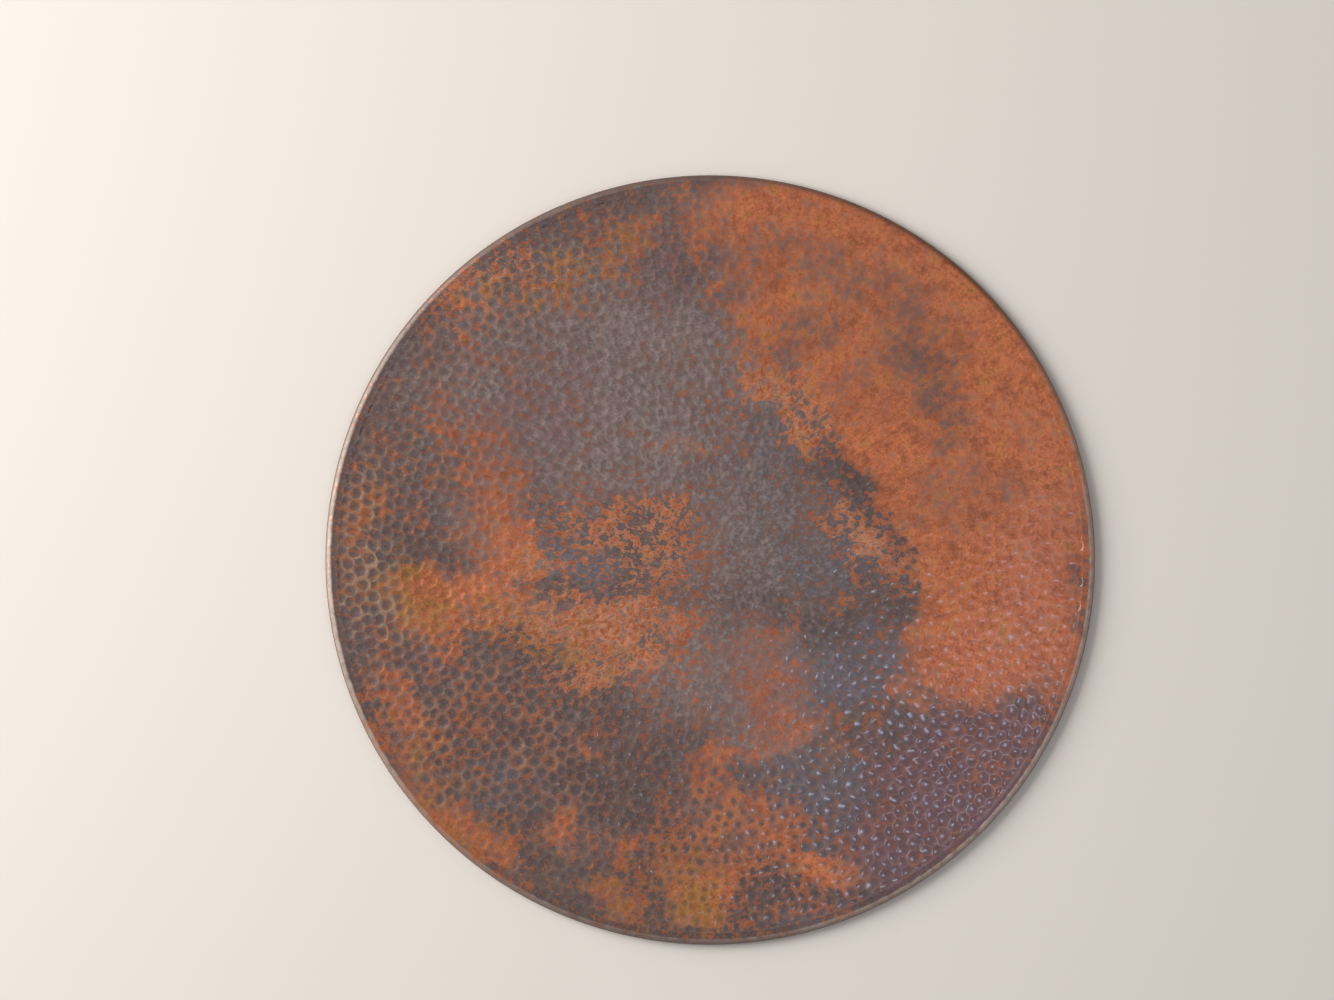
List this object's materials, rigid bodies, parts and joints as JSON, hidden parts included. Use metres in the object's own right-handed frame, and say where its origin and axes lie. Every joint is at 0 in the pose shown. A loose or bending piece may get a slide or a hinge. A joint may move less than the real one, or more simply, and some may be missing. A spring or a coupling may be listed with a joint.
{
  "type": "hammered copper tray",
  "caption": "Round flat tray of hammered copper sheet with a patinated dimpled face, its smooth edge rolled down over a wire, and an open underside.",
  "frame": {"origin": "centre of the plane that the rolled edge rests on, at the tray's lowest point", "axes": "+Z along the tray's axis, up out of the hammered serving face; +X and +Y lie in the resting plane"},
  "size_m": [0.5, 0.5, 0.0074],
  "materials": {
    "hammered_copper": "hammered copper with a mottled orange, brown and grey-purple heat patina, satin",
    "rim_wire_steel": "drawn mild steel wire, dull"
  },
  "bodies": {
    "root": {"hammered_sheet": "hammered_copper", "edge_wire": "rim_wire_steel"}
  },
  "joints": []
}
